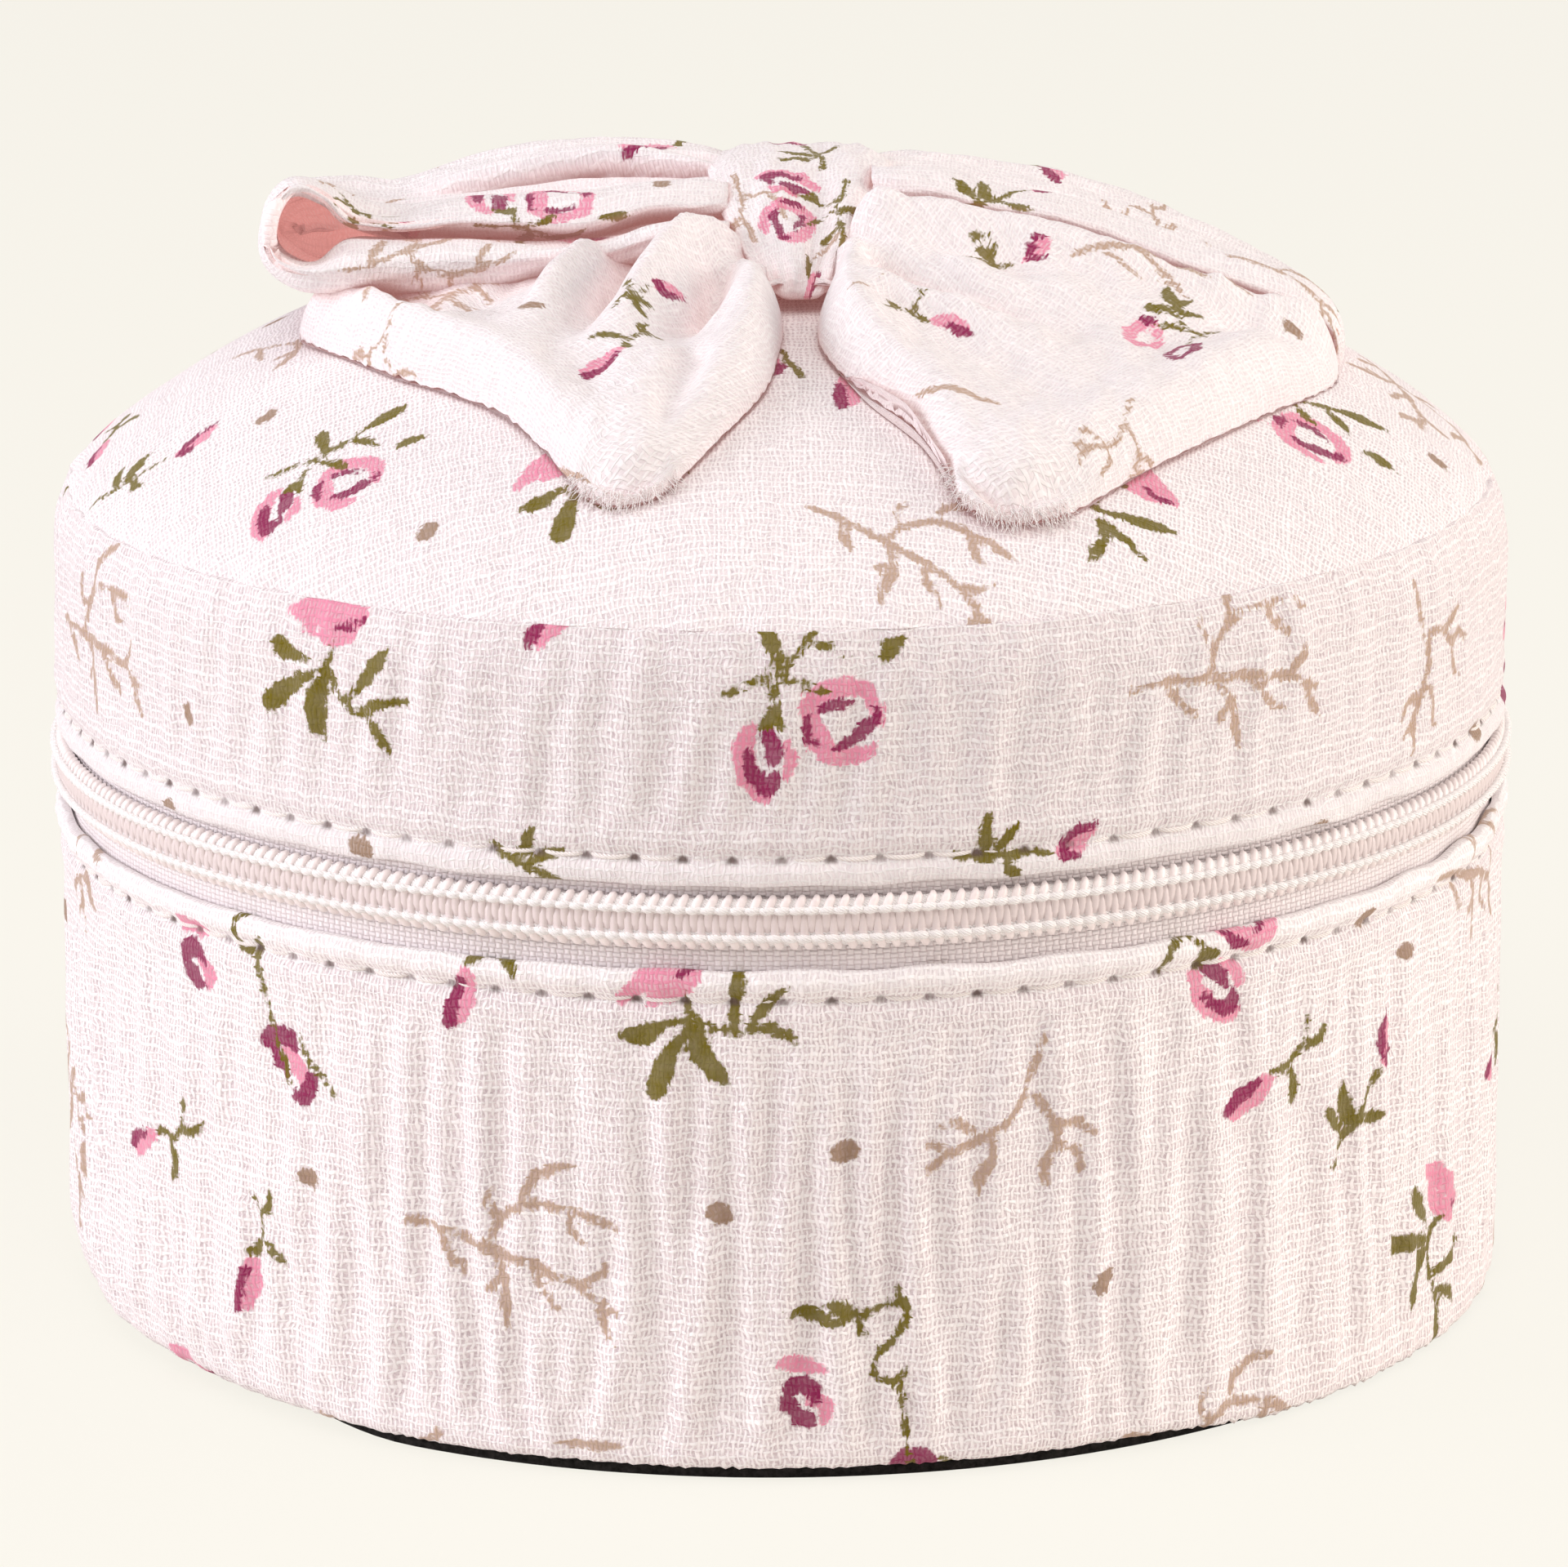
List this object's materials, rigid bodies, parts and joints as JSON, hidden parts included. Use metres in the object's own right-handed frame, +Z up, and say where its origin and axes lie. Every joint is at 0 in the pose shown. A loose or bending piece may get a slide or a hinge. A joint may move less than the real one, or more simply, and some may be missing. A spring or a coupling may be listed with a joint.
{
  "type": "zippered jewelry case",
  "caption": "Round fabric-covered jewelry case with a zip round its side, a fabric hinge, a padded domed lid with a bow, and a lined inside with ring rolls and a mirror.",
  "frame": {"origin": "centre of the underside of the case, on the surface it stands on", "axes": "+Z up, out of the lid; -Y is the front, opposite the fabric hinge; +X to the right seen from the front"},
  "size_m": [0.1208, 0.1208, 0.0946],
  "materials": {
    "printed_gauze": "cotton double gauze, crinkled, with a small rosebud print",
    "zip_tape": "woven polyester tape, pale pink",
    "nylon_coil": "pale nylon coil with a soft gloss",
    "sewing_thread": "off-white cotton thread",
    "black_underlay": "thin black felted card",
    "grey_board": "pressed grey card",
    "foam": "soft upholstery foam",
    "lining_velour": "short-pile pink velour",
    "mirror_glass": "polished",
    "enamelled_metal": "pale pink enamel on zinc alloy"
  },
  "bodies": {
    "base": {"base_disc": "black_underlay", "base_floor_board": "grey_board", "base_wall_board": "grey_board", "base_cover": "printed_gauze", "base_hem_stitching": "sewing_thread", "zip_tape_lower": "zip_tape", "zip_coil_lower": "nylon_coil", "zip_top_stop_lower": "enamelled_metal", "zip_bottom_stop": "enamelled_metal", "hinge_strip_lower": "printed_gauze", "floor_pad": "foam", "floor_lining": "lining_velour", "base_wall_lining": "lining_velour", "main_divider": "lining_velour", "cross_divider": "lining_velour", "ring_roll_bed": "lining_velour", "ring_roll_1": "lining_velour", "ring_roll_2": "lining_velour", "ring_roll_3": "lining_velour", "ring_roll_4": "lining_velour"},
    "lid": {"zip_tape_upper": "zip_tape", "zip_coil_upper": "nylon_coil", "zip_top_stop_upper": "enamelled_metal", "hinge_strip_upper": "printed_gauze", "lid_wall_board": "grey_board", "lid_top_board": "grey_board", "lid_band_cover": "printed_gauze", "lid_hem_stitching": "sewing_thread", "lid_foam_pad": "foam", "lid_top_cover": "printed_gauze", "lid_wall_lining": "lining_velour", "lid_top_lining": "lining_velour", "lid_mirror": "mirror_glass", "mirror_rim": "lining_velour", "bow_loops": "printed_gauze", "bow_tails": "printed_gauze", "bow_knot": "printed_gauze"},
    "slider": {"zip_slider": "enamelled_metal"},
    "pull_tab": {"zip_pull_tab": "enamelled_metal"}
  },
  "joints": [
    {"name": "lid_hinge", "type": "hinge", "parent": "base", "child": "lid", "pos_m": [0, 0.0591, 0.04495], "axis": [-1, 0, 0], "range_deg": [0, 110]},
    {"name": "slider_travel", "type": "hinge", "parent": "base", "child": "slider", "pos_m": [0, 0, 0.04495], "axis": [0, 0, 1], "range_deg": [-264, 0]},
    {"name": "tab_swing", "type": "hinge", "parent": "slider", "child": "pull_tab", "pos_m": [0.04656, 0.04192, 0.04495], "axis": [0, 0, -1], "range_deg": [0, 180]}
  ]
}
